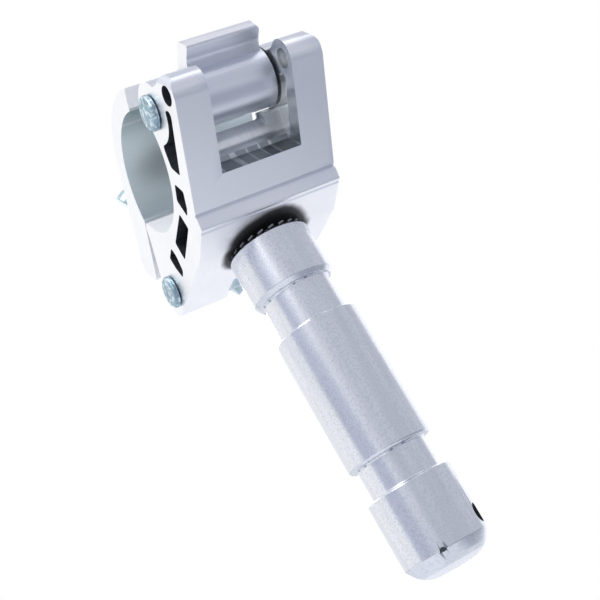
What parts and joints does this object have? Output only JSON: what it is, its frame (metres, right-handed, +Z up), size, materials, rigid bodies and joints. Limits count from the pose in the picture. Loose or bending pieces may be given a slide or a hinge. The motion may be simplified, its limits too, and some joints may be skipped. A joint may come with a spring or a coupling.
{
  "type": "half coupler pipe clamp with spigot",
  "caption": "Extruded aluminium half coupler: a saddle and a hinged jaw close round a tube, a swing bolt with a wing nut pulls them shut, and a turned spigot hangs below.",
  "frame": {"origin": "centre of the seated 48.3 mm tube, half way along the saddle", "axes": "+X along the tube, +Y from the hinge to the swing bolt, +Z up, so the spigot hangs along -Z"},
  "size_m": [0.0555, 0.1387, 0.1787],
  "materials": {
    "anodised_aluminium": "satin",
    "turned_aluminium": "turned, fine marks",
    "zinc_plated_steel": "bright zinc plate",
    "dark_steel": "blackened"
  },
  "bodies": {
    "clamp_body": {"main_body": "anodised_aluminium", "hinge_rivet": "zinc_plated_steel", "hinge_rivet_washer": "zinc_plated_steel", "bolt_rivet": "zinc_plated_steel", "bolt_rivet_washer": "zinc_plated_steel", "spigot": "turned_aluminium", "spigot_screw": "dark_steel", "lock_washer": "dark_steel"},
    "jaw": {"hinged_jaw": "anodised_aluminium"},
    "bolt": {"swing_bolt": "zinc_plated_steel"},
    "nut_carrier": {"nut_washer": "zinc_plated_steel"},
    "nut": {"wing_nut": "zinc_plated_steel"}
  },
  "joints": [
    {"name": "bolt_swing", "type": "hinge", "parent": "clamp_body", "child": "bolt", "pos_m": [0, 0.0304, -0.0349], "axis": [-1, 0, 0], "range_deg": [0, 100]},
    {"name": "jaw_hinge", "type": "hinge", "parent": "clamp_body", "child": "jaw", "pos_m": [0, -0.0312, -0.0023], "axis": [1, 0, 0], "range_deg": [0, 60]},
    {"name": "nut_travel", "type": "slide", "parent": "bolt", "child": "nut_carrier", "axis": [0, 0.7771, 0.6293], "range_m": [-0.0018, 0.008]},
    {"name": "nut_spin", "type": "hinge", "parent": "nut_carrier", "child": "nut", "pos_m": [0, 0.0304, -0.0349], "axis": [0, 0.7771, 0.6293], "range_deg": [-360, 1620]}
  ],
  "couplings": [
    {"joint": "jaw_hinge", "follows": "bolt_swing", "ratio": 0.6},
    {"joint": "nut_travel", "follows": "nut_spin", "m_per_rad": 0.00027852}
  ]
}
